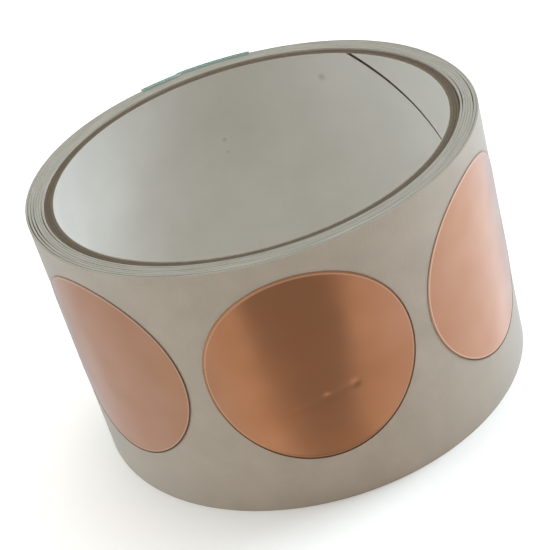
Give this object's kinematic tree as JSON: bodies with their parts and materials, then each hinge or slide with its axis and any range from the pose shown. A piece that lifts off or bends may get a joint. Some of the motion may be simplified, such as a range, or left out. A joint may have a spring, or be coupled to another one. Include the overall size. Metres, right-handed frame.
{
  "type": "copper foil disc roll",
  "caption": "Short wide roll of round copper foil stickers on a paper release liner, wound on a brown board core with a white lining, its end held by green tape.",
  "frame": {"origin": "centre of the bottom end face, on the core's axis", "axes": "+Z along the core's axis, up; -Y towards the middle of a foil disc; the free end of the liner is near +Y"},
  "size_m": [0.087, 0.0875, 0.0525],
  "materials": {
    "facing_paper": "matt white kraft lining",
    "core_board": "cut brown board",
    "release_liner": "satin siliconised paper",
    "copper_foil": "bright rolled copper",
    "green_tape": "thin green film"
  },
  "bodies": {
    "root": {"core_facing": "facing_paper", "core_ply_inner": "core_board", "core_ply_middle": "core_board", "core_ply_outer": "core_board", "liner_web": "release_liner", "copper_disc_07": "copper_foil", "copper_disc_08": "copper_foil", "copper_disc_09": "copper_foil", "copper_disc_10": "copper_foil", "copper_disc_11": "copper_foil", "copper_disc_12": "copper_foil", "copper_disc_13": "copper_foil", "copper_disc_14": "copper_foil", "copper_disc_15": "copper_foil", "copper_disc_16": "copper_foil", "copper_disc_17": "copper_foil", "copper_disc_18": "copper_foil", "copper_disc_19": "copper_foil", "copper_disc_20": "copper_foil", "copper_disc_21": "copper_foil", "copper_disc_22": "copper_foil", "copper_disc_23": "copper_foil", "copper_disc_24": "copper_foil", "copper_disc_25": "copper_foil", "copper_disc_26": "copper_foil", "copper_disc_27": "copper_foil", "copper_disc_28": "copper_foil", "copper_disc_29": "copper_foil", "copper_disc_30": "copper_foil", "copper_disc_31": "copper_foil", "copper_disc_32": "copper_foil", "copper_disc_33": "copper_foil", "copper_disc_34": "copper_foil", "copper_disc_35": "copper_foil", "copper_disc_36": "copper_foil", "copper_disc_37": "copper_foil", "copper_disc_38": "copper_foil", "copper_disc_39": "copper_foil", "copper_disc_40": "copper_foil", "copper_disc_41": "copper_foil", "copper_disc_42": "copper_foil", "copper_disc_43": "copper_foil"},
    "tail": {"liner_tail": "release_liner", "copper_disc_01": "copper_foil", "end_tape": "green_tape"},
    "disc_02": {"copper_disc_02": "copper_foil"},
    "disc_03": {"copper_disc_03": "copper_foil"},
    "disc_04": {"copper_disc_04": "copper_foil"},
    "disc_05": {"copper_disc_05": "copper_foil"},
    "disc_06": {"copper_disc_06": "copper_foil"}
  },
  "joints": [
    {"name": "tail_lift", "type": "hinge", "parent": "root", "child": "tail", "pos_m": [0.02806, 0.03329, 0], "axis": [0, 0, -1], "range_deg": [0, 90]},
    {"name": "disc_02_peel", "type": "hinge", "parent": "root", "child": "disc_02", "pos_m": [0.04335, -0.00244, 0], "axis": [0, 0, -1], "range_deg": [0, 75]},
    {"name": "disc_03_peel", "type": "hinge", "parent": "root", "child": "disc_03", "pos_m": [0.02252, -0.03718, 0], "axis": [0, 0, -1], "range_deg": [0, 75]},
    {"name": "disc_04_peel", "type": "hinge", "parent": "root", "child": "disc_04", "pos_m": [-0.01796, -0.0395, 0], "axis": [0, 0, -1], "range_deg": [0, 75]},
    {"name": "disc_05_peel", "type": "hinge", "parent": "root", "child": "disc_05", "pos_m": [-0.04282, -0.00742, 0], "axis": [0, 0, -1], "range_deg": [0, 75]},
    {"name": "disc_06_peel", "type": "hinge", "parent": "root", "child": "disc_06", "pos_m": [-0.03085, 0.03127, 0], "axis": [0, 0, -1], "range_deg": [0, 75]}
  ]
}
